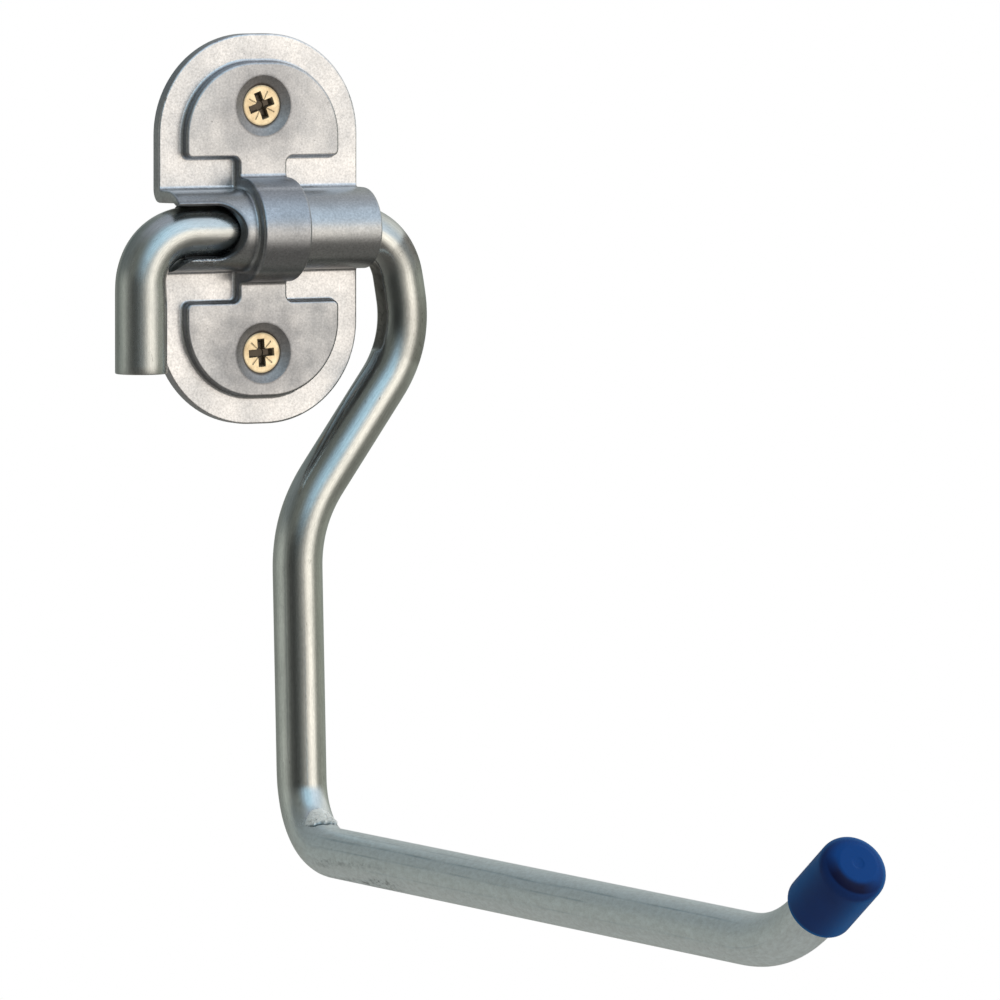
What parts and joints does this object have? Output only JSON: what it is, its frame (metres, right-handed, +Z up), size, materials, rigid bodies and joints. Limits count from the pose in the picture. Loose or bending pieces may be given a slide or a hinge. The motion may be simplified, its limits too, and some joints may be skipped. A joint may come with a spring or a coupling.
{
  "type": "garage utility hook",
  "caption": "Wall hook of bent round bar, loose in the barrel of a pressed bracket so that it swings up. Its long arm reaches out to an upturned, capped tip.",
  "frame": {"origin": "on the wall plane, at the middle of the bracket's back, halfway between its screws", "axes": "+X to the right along the barrel as seen from the front, -Y out of the wall along the arm, +Z up"},
  "size_m": [0.0682, 0.2595, 0.1676],
  "materials": {
    "bracket_zinc": "matt bright zinc plate on pressed steel sheet",
    "bar_zinc": "satin zinc plate on drawn steel bar",
    "cap_plastic": "satin moulded plastic, dark blue",
    "screw_zinc": "yellow passivated zinc plate on steel"
  },
  "bodies": {
    "bracket": {"wall_plate": "bracket_zinc", "screw_upper": "screw_zinc", "screw_lower": "screw_zinc"},
    "hook": {"hook_rod": "bar_zinc", "end_cap": "cap_plastic"}
  },
  "joints": [
    {"name": "hook_swing", "type": "hinge", "parent": "bracket", "child": "hook", "pos_m": [0, -0.00595, 0], "axis": [-1, 0, 0], "range_deg": [0, 115]}
  ]
}
